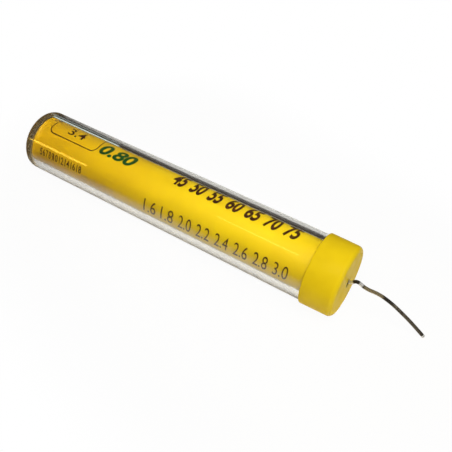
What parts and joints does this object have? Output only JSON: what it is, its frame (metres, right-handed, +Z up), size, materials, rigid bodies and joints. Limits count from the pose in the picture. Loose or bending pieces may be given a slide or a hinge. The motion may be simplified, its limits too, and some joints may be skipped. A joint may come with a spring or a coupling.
{
  "type": "pocket solder wire dispenser",
  "caption": "Clear closed-end tube with a rolled yellow card and coiled solder wire inside, and a soft yellow push-on cap whose centre hole feeds the wire's end.",
  "frame": {"origin": "under the middle of the capped tube's length, on the surface that the cap rests on, the wire left out", "axes": "+X along the tube from its closed end to the cap and the wire's outlet, +Z up, +Y to the back"},
  "size_m": [0.1081, 0.017, 0.017],
  "materials": {
    "clear_plastic": "clear, glossy, moulded",
    "yellow_plastic": "soft satin, moulded",
    "printed_card": "coated card, printed, semi-gloss",
    "solder_alloy": "drawn tin alloy, bright grey",
    "rosin_flux": "amber resin"
  },
  "bodies": {
    "tube": {"tube": "clear_plastic", "label_insert": "printed_card", "solder_coil": "solder_alloy"},
    "cap": {"cap": "yellow_plastic"},
    "wire": {"solder_feed": "solder_alloy", "flux_core": "rosin_flux"}
  },
  "joints": [
    {"name": "cap_pull", "type": "slide", "parent": "tube", "child": "cap", "axis": [1, 0, 0], "range_m": [0, 0.02]},
    {"name": "wire_feed", "type": "slide", "parent": "cap", "child": "wire", "axis": [1, 0, 0], "range_m": [0, 0.05]}
  ]
}
